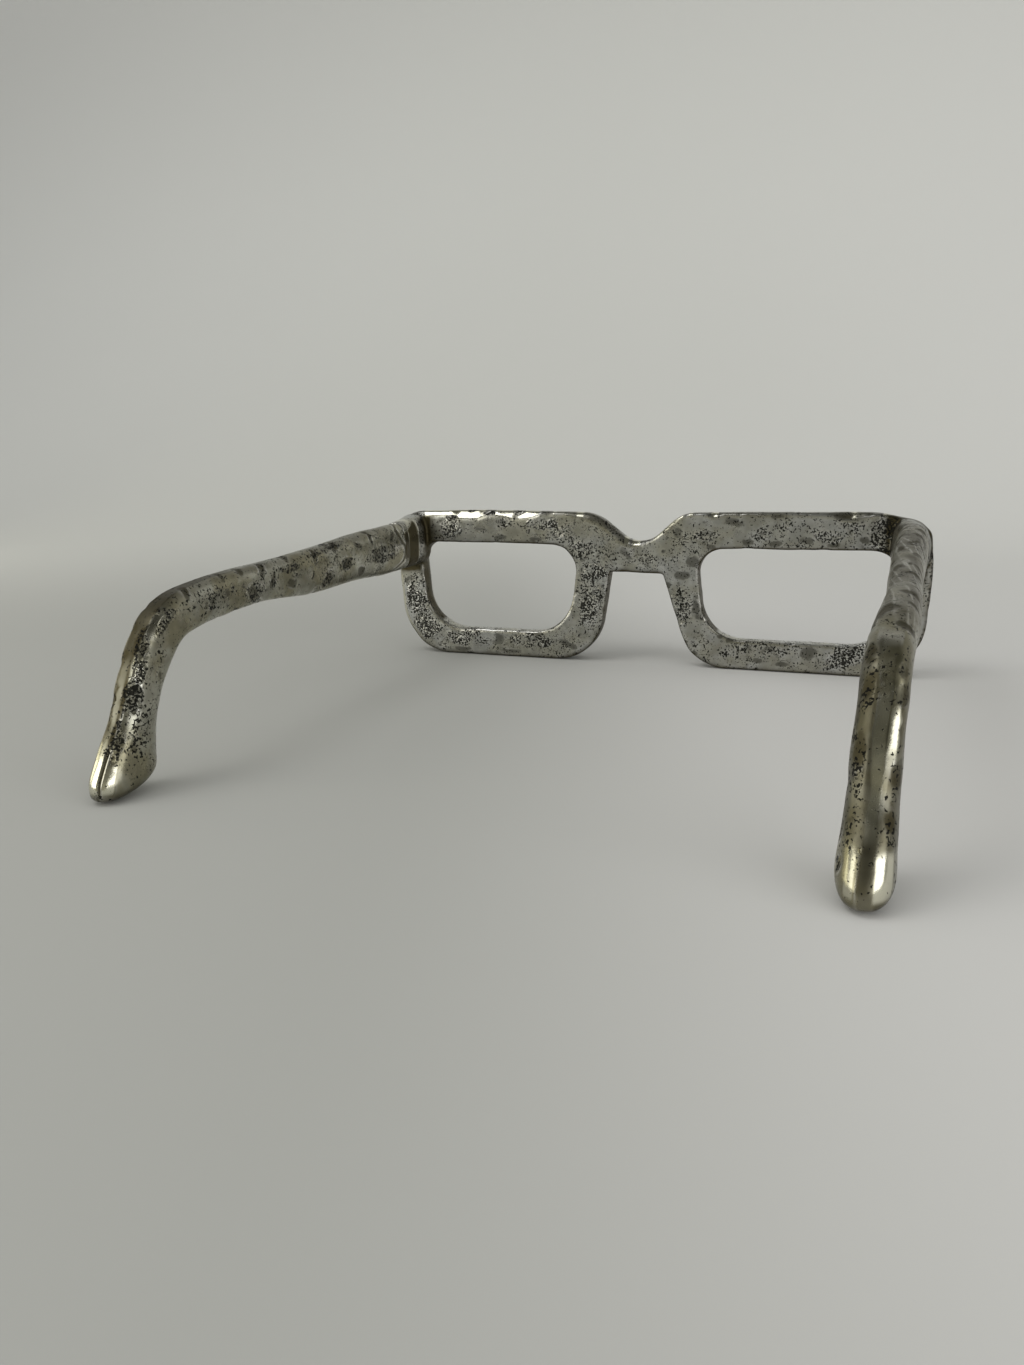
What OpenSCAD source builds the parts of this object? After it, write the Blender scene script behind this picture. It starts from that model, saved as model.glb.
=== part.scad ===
// Eyeglasses sculpture: oversize cast aluminium spectacles without lenses.
// The front is one casting, two rounded rims joined by a dipped bridge, with a short lug
// behind each upper outer corner. A cast temple is butt welded to each lug.
// X runs across the front, Y from the front to the temple tips, Z up from the floor.

/* [Front] */
// Overall width of the front
front_w = 237; // [215:1:270]
// Overall height of the front
front_h = 66.6; // [62:0.2:74]
// Depth of the front's bars, from front to back
bar_d = 11.6; // [9:0.1:14]
// How far the rounding of each edge reaches across a bar
edge_w = 2.8; // [1.5:0.1:5]
// Height of the flat strip left in the middle of each edge
edge_land = 5.4; // [2:0.1:8]

/* [Rims] */
// Width of the top bars
top_bar_w = 13.9; // [11:0.1:16]
// Width of the bars at the outer sides
side_bar_w = 13.8; // [11:0.1:16]
// Width of the bottom bars
bottom_bar_w = 12.4; // [10:0.1:15]
// Width of the bars beside the nose
nose_bar_w = 14.4; // [11:0.1:16]
// Lean of the outer sides, inwards towards the floor, in degrees
side_lean = 3; // [0:0.5:6]
// Lean of the left rim's nose bar in degrees
left_nose_lean = 9.5; // [5:0.5:18]
// Lean of the right rim's nose bar in degrees
right_nose_lean = 16; // [5:0.5:18]
// Outside radius of the upper outer corners
top_corner_r = 15; // [10:0.5:20]
// Outside radius of the lower outer corners
bottom_corner_r = 24; // [14:0.5:27]
// Outside radius of the lower corners beside the nose
nose_corner_r = 21; // [14:0.5:25]
// Radius of the openings' upper outer corners
hole_top_r = 9; // [5:0.5:14]
// Radius of the openings' upper corners beside the nose
hole_nose_r = 11; // [5:0.5:14]
// Radius of the openings' lower corners
hole_bottom_r = 18; // [8:0.5:19]

/* [Bridge] */
// Depth below the top of the rims at which the two slopes of the dip would meet
dip_depth = 16.4; // [13:0.2:20]
// Height of the bridge, from its underside to that point
bridge_h = 9.6; // [7:0.2:14]
// Width of the nose gap just under the bridge
bridge_gap = 24.2; // [18:0.2:30]
// Radius where the bridge's underside meets a nose bar
bridge_under_r = 1.6; // [0.5:0.1:4]
// Half the width of the dip at the top of the rims
dip_half_w = 18.6; // [15:0.2:24]
// Radius at the bottom of the dip
dip_r = 13; // [8:0.5:16]
// Radius where the rims' tops turn down into the dip
brow_r = 12.5; // [6:0.5:14]

/* [Temples] */
// Distance from the back of the front to the end of the tips
temple_reach = 214.6; // [190:0.2:240]
// Distance of a temple's outer side from the end of the front, at the joint
temple_inset = 3.6; // [2:0.1:6]
// How far each tip comes in towards the middle
toe_in = 8.4; // [0:0.2:16]
// Depth of a temple's middle below the top of the front, at the joint
root_depth = 14.2; // [12:0.2:16]
// Height of a temple at the joint
root_h = 21; // [17:0.2:23]
// Thickness of a temple at the joint
root_t = 11.6; // [9:0.1:14]
// Height of a temple ahead of its bend
run_h = 13.7; // [10:0.1:18]
// Thickness of a temple ahead of its bend
run_t = 9.6; // [7:0.1:12]
// How far a temple falls from the joint to the point where its bend's straights would meet
run_drop = 2.7; // [0:0.1:6]
// Distance of that point ahead of the end of the tip
bend_back = 34; // [28:0.5:50]
// Radius of the bend
bend_r = 30; // [20:0.5:34]
// Height of a temple in the middle of its bend
bend_h = 15.2; // [11:0.1:18]
// Width of the ear piece at its narrowest, below the bend
neck_h = 12.8; // [9:0.1:16]
// Length of the tip along the floor
tip_l = 23.2; // [18:0.2:28]
// Thickness of the tip
tip_t = 11.8; // [9:0.1:14]
// Height of the rounding under the tip
tip_round = 6; // [4:0.2:8]
// Share of the tip's length and thickness that lies flat on the floor
foot_share = 0.6; // [0.4:0.05:0.8]

/* [Joints] */
// Length of each lug behind the front
lug_l = 15.6; // [10:0.2:20]
// How far a lug widens towards the middle where it leaves the front
lug_flare = 2.6; // [0:0.2:6]
// How deep a lug's root is sunk into the front
lug_root = 5; // [3:0.1:7]
// Length of the weld between a lug and its temple
weld_l = 2; // [1:0.1:4]
// Depth of the groove round the weld
weld_groove = 0.6; // [0.2:0.1:1.5]

/* [Hidden] */
metal = [0.63, 0.62, 0.58];
weld_metal = [0.55, 0.55, 0.52];

// Facets: steps round a corner, across a rounded edge, round a temple and along it
corner_steps = 8;
edge_steps = 4;
ring_points = 20;
run_steps = 12;
bend_steps = 9;
ear_steps = 7;
tip_steps = 5;
lug_steps = 5;

// Squareness of the rounded edges of the front, of the temples' oval and of the rounding
// under the tips: 2 is round, more is squarer
edge_power = 2.3;
oval_power = 2.6;
foot_power = 2.5;

// How fast the ear pieces widen to their tips, and the lugs to the front: more is later
flare_power = 2;
lug_power = 1.4;

// Shares of the straight run at which a temple has tapered and starts to thicken for its
// bend, and shares of the ear piece at which it is narrowest and at which its sections lie
// level with the floor
taper_part = 0.78;
run_part = 0.94;
neck_part = 0.2;
level_part = 0.8;

// Y of the front's back face, of the weld's two faces and of the tips' ends
back_y = bar_d - (bar_d + temple_reach) / 2;
lug_y = back_y + lug_l;
seam_y = lug_y + weld_l;
tip_y = back_y + temple_reach;
root_x = front_w / 2 - temple_inset - root_t / 2;

// Heights above the floor of the dip's point, of the bridge's underside, of a temple's
// middle at the joint and of the point of its bend
dip_z = front_h - dip_depth;
bridge_z = dip_z - bridge_h;
root_z = front_h - root_depth;
bend_z = root_z - run_drop;

// Distance from the middle at which the outer and nose sides meet the top and floor lines
top_x = front_w / 2 - top_corner_r + top_corner_r * (1 + sin(side_lean)) / cos(side_lean);
foot_x = top_x - front_h * tan(side_lean);
function nose_x(lean) = bridge_gap / 2 + bridge_z * tan(lean);

function unit(v) = v / norm(v);
function signed_power(v, p) = sign(v) * pow(abs(v), p);
function ease(u) = u * u * (3 - 2 * u);

// A corner of an outline, [x, z, radius], as steps of its arc: [point, outward normal].
// The outline runs anticlockwise, so a corner that turns left bulges outwards.
function corner_arc(a, p, b) =
    let (
        to_a = unit([a[0] - p[0], a[1] - p[1]]),
        to_b = unit([b[0] - p[0], b[1] - p[1]]),
        half = acos(to_a * to_b) / 2,
        bulge = sign(to_b[0] * to_a[1] - to_b[1] * to_a[0]),
        centre = [p[0], p[1]] + unit(to_a + to_b) * p[2] / sin(half),
        start = [p[0], p[1]] + to_a * p[2] / tan(half) - centre,
        sweep = bulge * (180 - 2 * half)
    )
    [for (i = [0:corner_steps])
        let (
            turn = sweep * i / corner_steps,
            spoke = [
                start[0] * cos(turn) - start[1] * sin(turn),
                start[0] * sin(turn) + start[1] * cos(turn)
            ]
        )
        [centre + spoke, unit(spoke) * bulge]
    ];

function outline(corners) =
    let (n = len(corners))
    [for (i = [0:n - 1], s = corner_arc(corners[(i + n - 1) % n], corners[i], corners[(i + 1) % n])) s];

// Outline of the whole front, from the left rim's upper outer corner over the bridge
outer_corners = [
    [top_x, front_h, top_corner_r],
    [dip_half_w, front_h, brow_r],
    [0, dip_z, dip_r],
    [-dip_half_w, front_h, brow_r],
    [-top_x, front_h, top_corner_r],
    [-foot_x, 0, bottom_corner_r],
    [-nose_x(right_nose_lean), 0, nose_corner_r],
    [-bridge_gap / 2, bridge_z, bridge_under_r],
    [bridge_gap / 2, bridge_z, bridge_under_r],
    [nose_x(left_nose_lean), 0, nose_corner_r],
    [foot_x, 0, bottom_corner_r]
];

// Corners of the opening in a rim whose nose bar has this lean. Its sides lie one bar's
// width inside the outline. It is listed from the upper outer corner, as for the left rim.
function hole_corners(lean) =
    let (
        top = front_h - top_bar_w,
        side_at_floor = foot_x - side_bar_w / cos(side_lean),
        nose_at_floor = nose_x(lean) + nose_bar_w / cos(lean)
    )
    [
        [side_at_floor + top * tan(side_lean), top, hole_top_r],
        [nose_at_floor - top * tan(lean), top, hole_nose_r],
        [nose_at_floor - bottom_bar_w * tan(lean), bottom_bar_w, hole_bottom_r],
        [side_at_floor + bottom_bar_w * tan(side_lean), bottom_bar_w, hole_bottom_r]
    ];

function mirrored(corners) =
    [for (i = [len(corners) - 1:-1:0]) [-corners[i][0], corners[i][1], corners[i][2]]];

// Edge profile from the back face to the front face: [distance in from the outline, y]
edge_half =
    [for (i = [0:edge_steps])
        let (a = 90 - 90 * i / edge_steps)
        [
            edge_w * (1 - pow(cos(a), 2 / edge_power)),
            edge_land / 2 + (bar_d - edge_land) / 2 * pow(sin(a), 2 / edge_power)
        ]
    ];
edge_profile = concat(
    edge_half,
    [for (i = [edge_steps:-1:0]) [edge_half[i][0], -edge_half[i][1]]]
);

// One loop of the outline at every step of the edge profile. side is 1 where the metal lies
// inside the outline and -1 where it lies outside, as round an opening.
function loop_points(steps, side) =
    [for (e = edge_profile, s = steps)
        let (q = s[0] - s[1] * e[0] * side)
        [q[0], back_y - bar_d / 2 + e[1], q[1]]
    ];

function loop_walls(base, n, side) =
    [for (k = [0:len(edge_profile) - 2], i = [0:n - 1])
        let (
            j = (i + 1) % n,
            low = base + k * n,
            high = low + n
        )
        side > 0 ? [low + i, high + i, high + j, low + j] : [low + i, low + j, high + j, high + i]
    ];

function span(base, n, from, to) =
    [for (i = [0:(to - from + n) % n]) base + (from + i) % n];
function reversed(list) = [for (i = [len(list) - 1:-1:0]) list[i]];
function strip(a, b) = [for (i = [0:len(a) - 2]) [a[i], a[i + 1], b[i + 1], b[i]]];
function fan(tip, rim) = [for (i = [0:len(rim) - 2]) [tip, rim[i], rim[i + 1]]];

// The front as one closed shell: rounded walls along the outline and both openings, and a
// flat face on the back and on the front. Each corner of the outline is a run of arc steps,
// and so is each corner of an opening, so the flat faces are strips from one to the other.
// The bridge's part of them is a row of fans between the dip and the underside.
module front_plate() {
    outer = outline(outer_corners);
    left = outline(hole_corners(left_nose_lean));
    right = outline(mirrored(hole_corners(right_nose_lean)));
    arc = corner_steps + 1;
    n_outer = len(outer);
    n_hole = len(left);
    left_base = n_outer * len(edge_profile);
    right_base = left_base + n_hole * len(edge_profile);
    last = len(edge_profile) - 1;

    // First steps of the dip, of the right brow and of the two corners under the bridge
    dip = 2 * arc;
    right_brow = 3 * arc;
    under_right = 7 * arc;
    under_left = 8 * arc;
    flats = function (k)
        let (
            o = k * n_outer,
            l = left_base + k * n_hole,
            r = right_base + k * n_hole,
            dip_middle = dip + floor(corner_steps / 2),
            left_end = o + under_left,
            right_end = left_end - 1
        )
        concat(
            strip(span(o, n_outer, 0, dip - 1), span(l, n_hole, 0, 2 * arc - 1)),
            strip(span(o, n_outer, 9 * arc - 1, 0), span(l, n_hole, 2 * arc - 1, 0)),
            strip(span(o, n_outer, right_brow, 5 * arc - 1), span(r, n_hole, 2 * arc, 4 * arc - 1)),
            strip(span(o, n_outer, 5 * arc - 1, under_right), span(r, n_hole, 4 * arc - 1, 2 * arc)),
            fan(
                o + dip - 1,
                concat([o + dip], span(o, n_outer, under_left, 9 * arc - 1), [l + 2 * arc - 1])
            ),
            fan(left_end, span(o, n_outer, dip, dip_middle)),
            [[right_end, left_end, o + dip_middle]],
            fan(right_end, span(o, n_outer, dip_middle, right_brow - 1)),
            fan(
                o + right_brow,
                concat([r + 2 * arc], span(o, n_outer, under_right, right_end - o), [o + right_brow - 1])
            )
        );
    polyhedron(
        points = concat(loop_points(outer, 1), loop_points(left, -1), loop_points(right, -1)),
        faces = concat(
            loop_walls(0, n_outer, 1),
            loop_walls(left_base, n_hole, -1),
            loop_walls(right_base, n_hole, -1),
            flats(0),
            [for (f = flats(last)) reversed(f)]
        )
    );
}

// A closed shell through rings of points, with flat ends
module loft(rings) {
    n = len(rings[0]);
    m = len(rings);
    polyhedron(
        points = [for (r = rings, p = r) p],
        faces = concat(
            [for (k = [0:m - 2], i = [0:n - 1])
                let (j = (i + 1) % n)
                [k * n + i, k * n + j, (k + 1) * n + j, (k + 1) * n + i]
            ],
            [[for (i = [n - 1:-1:0]) i], [for (i = [0:n - 1]) (m - 1) * n + i]]
        )
    );
}

// Oval section: across is the half thickness along X, up the half height along the
// direction (0, cos tilt, sin tilt)
function oval(centre, across, up, tilt) =
    [for (i = [0:ring_points - 1])
        let (
            a = 360 * i / ring_points,
            h = up * signed_power(sin(a), 2 / oval_power)
        )
        centre + [across * signed_power(cos(a), 2 / oval_power), h * cos(tilt), h * sin(tilt)]
    ];

// Middle line of a temple in the side view: a straight run, the bend and the ear piece
run_start = [seam_y, root_z];
bend_point = [tip_y - bend_back, bend_z];
ear_end = [tip_y - tip_l / 2, tip_round];
run_way = unit(bend_point - run_start);
ear_way = unit(ear_end - bend_point);
bend_turn = acos(run_way * ear_way);
bend_cut = bend_r * tan(bend_turn / 2);
run_l = norm(bend_point - run_start) - bend_cut;
ear_l = norm(ear_end - bend_point) - bend_cut;
bend_l = bend_r * bend_turn * PI / 180;
temple_l = run_l + bend_l + ear_l;
run_fall = atan2(-run_way[1], run_way[0]);

function run_at(s) = run_start + run_way * s;
function bend_at(turn) =
    let (
        start = run_at(run_l),
        centre = start + bend_r * [run_way[1], -run_way[0]],
        a = 90 - run_fall - turn
    )
    centre + bend_r * [cos(a), sin(a)];

// Smooth passage of a size through [[share of the length, value], ...]
function through(keys, u, i = 0) =
    i >= len(keys) - 2 || u <= keys[i + 1][0]
        ? let (w = (u - keys[i][0]) / (keys[i + 1][0] - keys[i][0]))
            keys[i][1] + (keys[i + 1][1] - keys[i][1]) * ease(min(max(w, 0), 1))
        : through(keys, u, i + 1);

// Shares of a temple's length at which its sizes are given
straight_share = 0.08;
run_from = run_l / temple_l * taper_part;
run_to = run_l / temple_l * run_part;
bend_share = (run_l + bend_l / 2) / temple_l;
neck_share = (run_l + bend_l + ear_l * neck_part) / temple_l;
height_keys = [
    [0, root_h], [straight_share, root_h], [run_from, run_h], [run_to, run_h],
    [bend_share, bend_h], [neck_share, neck_h]
];
thickness_keys = [[0, root_t], [run_from, run_t], [neck_share, tip_t], [1, tip_t]];

function height_at(u) =
    u <= neck_share
        ? through(height_keys, u)
        : neck_h + (tip_l - neck_h) * pow((u - neck_share) / (1 - neck_share), flare_power);
function x_at(y) = root_x - toe_in * (y - seam_y) / (ear_end[0] - seam_y);

// Section of a temple at s along its middle line, square to the line except at both ends:
// it stands upright at the joint and lies level at the tip
function temple_ring(s, point, fall) =
    let (
        u = s / temple_l,
        upright = 1 - min(s / (run_l / run_steps), 1),
        level = s <= run_l + bend_l ? 0 : ease(min((s - run_l - bend_l) / (ear_l * level_part), 1)),
        square = 90 - fall * (1 - upright),
        tilt = square * (1 - level)
    )
    oval(
        [x_at(point[0]), point[0], point[1]],
        through(thickness_keys, u) / 2,
        height_at(u) / 2,
        tilt
    );

run_rings = [for (i = [0:run_steps - 1])
    let (s = run_l * i / run_steps)
    temple_ring(s, run_at(s), run_fall)
];
bend_rings = [for (i = [0:bend_steps])
    let (turn = bend_turn * i / bend_steps)
    temple_ring(run_l + bend_l * i / bend_steps, bend_at(turn), run_fall + turn)
];
ear_rings = [for (i = [1:ear_steps])
    let (s = ear_l * i / ear_steps)
    temple_ring(
        run_l + bend_l + s,
        bend_at(bend_turn) + ear_way * s,
        run_fall + bend_turn
    )
];

// The tip's rounded underside, which ends in a flat foot on the floor
foot_turn = pow(1 - pow(foot_share, foot_power), 1 / foot_power);
foot_rings = [for (i = [1:tip_steps])
    let (
        q = i / tip_steps,
        share = pow(1 - pow(q * foot_turn, foot_power), 1 / foot_power)
    )
    oval(
        [x_at(ear_end[0]), ear_end[0], tip_round * (1 - q)],
        tip_t / 2 * share,
        tip_l / 2 * share,
        0
    )
];

module temple() {
    loft(concat(run_rings, bend_rings, ear_rings, foot_rings));
}

// Lug: the temple's section at the joint, carried forward into the front and widened
// towards the middle, which fills the corner between the two
module lug() {
    loft(
        [for (i = [0:lug_steps])
            let (
                q = i / lug_steps,
                y = lug_y - (lug_l + lug_root) * (1 - q),
                widen = y < back_y ? lug_flare : lug_flare * pow((lug_y - y) / lug_l, lug_power)
            )
            oval([x_at(y) - widen / 2, y, root_z], (root_t + widen) / 2, root_h / 2, 90)
        ]
    );
}

// Weld metal between a lug and its temple, set back from both to leave a groove
module weld() {
    loft(
        [for (y = [lug_y, seam_y])
            oval([x_at(y), y, root_z], root_t / 2 - weld_groove, root_h / 2 - weld_groove, 90)
        ]
    );
}

// Both rims, the bridge and the two lugs: one casting
module front_frame() {
    color(metal) union() {
        front_plate();
        lug();
        mirror([1, 0, 0]) lug();
    }
}

module left_temple() {
    color(metal) temple();
}

module right_temple() {
    color(metal) mirror([1, 0, 0]) temple();
}

module left_weld() {
    color(weld_metal) weld();
}

module right_weld() {
    color(weld_metal) mirror([1, 0, 0]) weld();
}

front_frame();
left_temple();
right_temple();
left_weld();
right_weld();
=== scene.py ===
from collections import namedtuple
from functools import reduce
from itertools import product
from math import cos, pi, radians, sin

import bpy
import numpy as np
from mathutils import Matrix
from mathutils.geometry import tessellate_polygon


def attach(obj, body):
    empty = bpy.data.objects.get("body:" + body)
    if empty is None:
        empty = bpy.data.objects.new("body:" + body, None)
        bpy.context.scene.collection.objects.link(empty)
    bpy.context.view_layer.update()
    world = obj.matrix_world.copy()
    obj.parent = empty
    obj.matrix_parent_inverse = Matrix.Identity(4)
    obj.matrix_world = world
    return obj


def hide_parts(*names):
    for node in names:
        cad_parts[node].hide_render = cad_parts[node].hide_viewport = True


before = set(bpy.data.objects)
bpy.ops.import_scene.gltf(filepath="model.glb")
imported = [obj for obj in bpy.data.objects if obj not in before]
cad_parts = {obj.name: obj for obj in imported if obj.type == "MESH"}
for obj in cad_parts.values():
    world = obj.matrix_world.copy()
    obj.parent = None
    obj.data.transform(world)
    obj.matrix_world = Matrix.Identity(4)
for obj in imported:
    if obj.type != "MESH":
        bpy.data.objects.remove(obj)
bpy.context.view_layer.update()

# All shapes below are worked out in millimetres, in the frame of the part, and turned into
# metres when a mesh is made.
MM = 0.001

# The back face of the front, where the rounding of its front face ends, its outer end and
# its depth
FRONT_BACK_Y = -101.5
BEHIND_FACE_Y = -109.0
END_X = 118.5
BAR_DEPTH = 11.6
# How wide and how deep the edges of the front face are rounded, and in how many steps
FACE_EDGE = 4.0
FACE_EDGE_DEPTH = 7.2
EDGE_STEPS = 8
# Length of a lug, how far its root is sunk into the front, how far behind the front the ridge
# on its inner side lies, and the length of the weld behind it
LUG_LENGTH = 15.6
LUG_ROOT = 5.0
RIDGE_OUT = 8.0
SEAM_LENGTH = 2.0
# How nearly the sections of a lug and of a temple are rectangles: 2 is an ellipse
LUG_POWER = 3.0
TEMPLE_POWER = 2.7
# Points round a lug and round a temple, how many rings lie under the tip and how far each of
# them counts as distance run, and the sizes of the meshes
LUG_ROUND = 96
ROUND = 112
FOOT_RINGS = 13
FOOT_RING_RUN = 0.5
LUG_RING_GAP = 0.4
TEMPLE_RING_GAP = 0.45
FRONT_VOXEL = 0.57
# Seeds of the random marks and of the front's noise. The sides, with the seeds of theirs
MARKS_SEED = 11
FRONT_SEED = 20
SIDES = ((1, "left", 40), (-1, "right", 60))


# Camera, stage and light


CAMERA_PLACE = (-0.1012, 0.2998, 0.0945)
CAMERA_PITCH, CAMERA_YAW, CAMERA_ROLL = 13.89, 21.92, -1.48
SENSOR_WIDTH = 36
FOCAL_LENGTH = 24.98


def make_camera():
    """The photograph's camera. Yaw turns it from the -Y direction, pitch tips it down."""
    pitch, yaw, roll = (radians(a) for a in (CAMERA_PITCH, CAMERA_YAW, CAMERA_ROLL))
    forward = np.array([sin(yaw), -cos(yaw), 0.0])
    level_right = np.array([-cos(yaw), -sin(yaw), 0.0])
    up = np.array([0.0, 0.0, 1.0])
    axis = cos(pitch) * forward - sin(pitch) * up
    down = -sin(pitch) * forward - cos(pitch) * up
    right = cos(roll) * level_right - sin(roll) * down
    down = sin(roll) * level_right + cos(roll) * down
    data = bpy.data.cameras.new("camera")
    data.sensor_width = SENSOR_WIDTH
    data.lens = FOCAL_LENGTH
    data.clip_start = 0.01
    camera = new_object("camera", data)
    turn = Matrix([list(row) for row in np.array([right, -down, -axis]).T])
    camera.matrix_world = Matrix.Translation(CAMERA_PLACE) @ turn.to_4x4()
    bpy.context.scene.camera = camera


def new_object(name, data):
    """An object in the scene."""
    made = bpy.data.objects.new(name, data)
    bpy.context.scene.collection.objects.link(made)
    return made


def new_mesh(name, points, faces):
    mesh = bpy.data.meshes.new(name)
    mesh.from_pydata(points, [], faces)
    return mesh


def new_material(name):
    """An empty material: itself, its nodes and its shader."""
    material = bpy.data.materials.new(name)
    material.use_nodes = True
    nodes = material.node_tree.nodes
    nodes.clear()
    out = nodes.new("ShaderNodeOutputMaterial")
    shader = nodes.new("ShaderNodeBsdfPrincipled")
    material.node_tree.links.new(shader.outputs[0], out.inputs[0])
    return material, Nodes(material.node_tree), shader


class Nodes:
    """Short forms for the nodes that the materials are made of."""

    def __init__(self, tree):
        self.tree = tree

    def link(self, value, socket):
        if isinstance(value, bpy.types.NodeSocket):
            self.tree.links.new(value, socket)
        else:
            socket.default_value = value

    def add(self, kind, values, **settings):
        """The outputs of a new node. values are its inputs, by name or by number."""
        node = self.tree.nodes.new("ShaderNode" + kind)
        for key, value in settings.items():
            setattr(node, key, value)
        for key, value in values.items():
            self.link(value, node.inputs[key])
        return node.outputs

    def math(self, operation, a, b, clamp=False):
        return self.add("Math", {0: a, 1: b}, operation=operation, use_clamp=clamp)[0]

    def plus(self, value, part, share, zero=0.0, clamp=False):
        """The value plus a share of the part, which is counted from its zero."""
        if zero:
            part = self.math("SUBTRACT", part, zero)
        return self.math("ADD", value, self.math("MULTIPLY", part, share), clamp)

    def remap(self, value, low, high, to_low=0.0, to_high=1.0, smooth=True):
        values = dict(enumerate((value, low, high, to_low, to_high)))
        curve = "SMOOTHSTEP" if smooth else "LINEAR"
        return self.add("MapRange", values, interpolation_type=curve)[0]

    def mix(self, share, a, b):
        return self.add("Mix", {0: share, 6: a, 7: b}, data_type="RGBA")[2]

    def noise(self, vector, scale, detail=2.0, roughness=0.5, distortion=0.0):
        values = {"Vector": vector, "Scale": scale, "Detail": detail}
        values |= {"Roughness": roughness, "Distortion": distortion}
        return self.add("TexNoise", values)[0]

    def place(self):
        return self.add("TexCoord", {})["Object"]

    def attribute(self, name):
        return self.add("Attribute", {}, attribute_name=name)["Fac"]

    def bump(self, height, distance, strength=1.0, below=None):
        values = {"Strength": strength, "Distance": distance, "Height": height}
        if below is not None:
            values["Normal"] = below
        return self.add("Bump", values)[0]


# Painted shade: the floor's tone is darkest round this place, near the camera, in metres
FLOOR_SHADE_CENTRE = (0.1, 0.35, 0.0)


def make_stage():
    """A pale sheet that lies under the object and sweeps up behind it, in uneven tones that paint
    light and shade: the floor is darker round a place near the camera and towards +x, paler towards
    -x, and the wall is darker towards both sides and towards the top, with a noise for random
    unevenness.
    """
    reach, floor_end, radius, height, arc_steps = 6.0, -0.5, 1.0, 3.2, 32
    profile = [(reach, 0.0), (floor_end, 0.0)]
    for i in range(1, arc_steps + 1):
        a = pi / 2 * i / arc_steps
        profile.append((floor_end - radius * sin(a), radius * (1 - cos(a))))
    profile.append((floor_end - radius, height))
    verts = [(x, y, z) for y, z in profile for x in (-reach, reach)]
    faces = [(2 * i, 2 * i + 1, 2 * i + 3, 2 * i + 2) for i in range(len(profile) - 1)]
    mesh = new_mesh("paper_sweep", verts, faces)
    mesh.shade_smooth()
    material, n, shader = new_material("pale_paper")
    place = n.place()
    away = n.add("VectorMath", {0: place, 1: FLOOR_SHADE_CENTRE}, operation="DISTANCE")["Value"]
    x, y, z = n.add("SeparateXYZ", {0: place})
    cloud = n.plus(x, n.noise(place, 1.6, 1.0), 0.3)
    side = n.plus(n.math("MULTIPLY", cloud, 0.2), x, 0.8)
    side = n.plus(side, y, 0.4)
    # Painted light and shade on the floor: darker near the camera and towards +x, paler towards -x
    near = n.mix(n.remap(side, 0.09, -0.07), (0.385, 0.388, 0.366, 1), (0.575, 0.573, 0.555, 1))
    middle = n.mix(n.remap(cloud, 0.9, -0.6), (0.585, 0.59, 0.56, 1), (0.71, 0.71, 0.685, 1))
    tone = n.mix(n.remap(away, 0.45, 1.15), near, middle)
    # Painted light falloff on the wall: darker towards its +x and -x sides and towards the top
    wall = n.mix(n.remap(cloud, 2.5, 0.7), (0.62, 0.625, 0.6, 1), (0.79, 0.795, 0.765, 1))
    wall = n.mix(n.remap(cloud, 0.2, -0.9, 0.0, 0.7), wall, (0.64, 0.63, 0.62, 1))
    wall = n.mix(n.remap(z, 0.4, 1.2, 0.0, 0.7), wall, (0.6, 0.6, 0.58, 1))
    far = n.mix(n.remap(away, 1.1, 2.8), tone, wall)
    n.link(far, shader.inputs["Base Color"])
    shader.inputs["Roughness"].default_value = 0.85
    shader.inputs["Specular IOR Level"].default_value = 0.15
    mesh.materials.append(material)
    sweep = new_object("paper_sweep", mesh)


def make_light():
    """A dim room and five soft panels."""
    world = bpy.data.worlds.new("studio")
    bpy.context.scene.world = world
    world.use_nodes = True
    world.node_tree.nodes.clear()
    n = Nodes(world.node_tree)
    ray = n.add("LightPath", {})
    _, y, z = n.add("SeparateXYZ", {0: n.add("TexCoord", {})["Generated"]})
    # What the metal mirrors: dim at one end of the room and dark overhead, paler all round
    room = n.mix(n.remap(y, 0.9, 0.3), (0.28, 0.27, 0.21, 1), (0.36, 0.36, 0.33, 1))
    room = n.mix(n.remap(z, 0.35, 0.8), room, (0.1, 0.1, 0.085, 1))
    soft = n.mix(ray["Is Diffuse Ray"], room, (0.72, 0.72, 0.71, 1))
    shown = n.mix(ray["Is Camera Ray"], soft, (0.53, 0.53, 0.5, 1))
    background = n.add("Background", {"Color": shown, "Strength": 1.0})
    n.add("OutputWorld", {0: background[0]})
    bpy.context.scene.view_settings.view_transform = "Standard"

    def panel(name, place, size, glow, colour=(1.0, 1.0, 1.0)):
        """A soft panel that faces the object, with the brightness of its face."""
        data = bpy.data.lights.new(name, "AREA")
        data.shape = "RECTANGLE"
        data.size, data.size_y = size
        data.energy = glow * pi * size[0] * size[1]
        data.color = colour
        lamp = new_object(name, data)
        lamp.location = place
        lamp.rotation_mode = "QUATERNION"
        lamp.rotation_quaternion = (-lamp.location).to_track_quat("-Z", "Y")

    panel("high_left_panel", (0.62, 0.32, 1.1), (0.62, 0.55), 2.6)
    panel("low_left_panel", (0.82, 0.66, 0.36), (0.7, 0.6), 2.0, (1.0, 0.98, 0.88))
    panel("side_left_panel", (1.1, -0.02, 0.16), (0.6, 0.3), 1.5, (1.0, 0.94, 0.66))
    panel("high_middle_panel", (0.2, 0.4, 1.1), (0.25, 0.14), 2.6)
    panel("low_right_panel", (-0.86, 0.52, 0.32), (1.0, 0.5), 1.8)


# Fields on the surface


def hashed(cells, seed):
    """A repeatable random number from 0 to 1 for each whole-numbered cell."""
    keys = np.array([73856093, 19349663, 83492791], np.uint32)
    h = np.bitwise_xor.reduce(cells.astype(np.uint32) * keys, axis=-1)
    h ^= np.uint32(seed * 2654435761 % 2**32)
    for shift, factor in ((15, 2246822519), (13, 3266489917), (16, 1)):
        h ^= h >> np.uint32(shift)
        h *= np.uint32(factor)
    return h / 2.0**32


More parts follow.
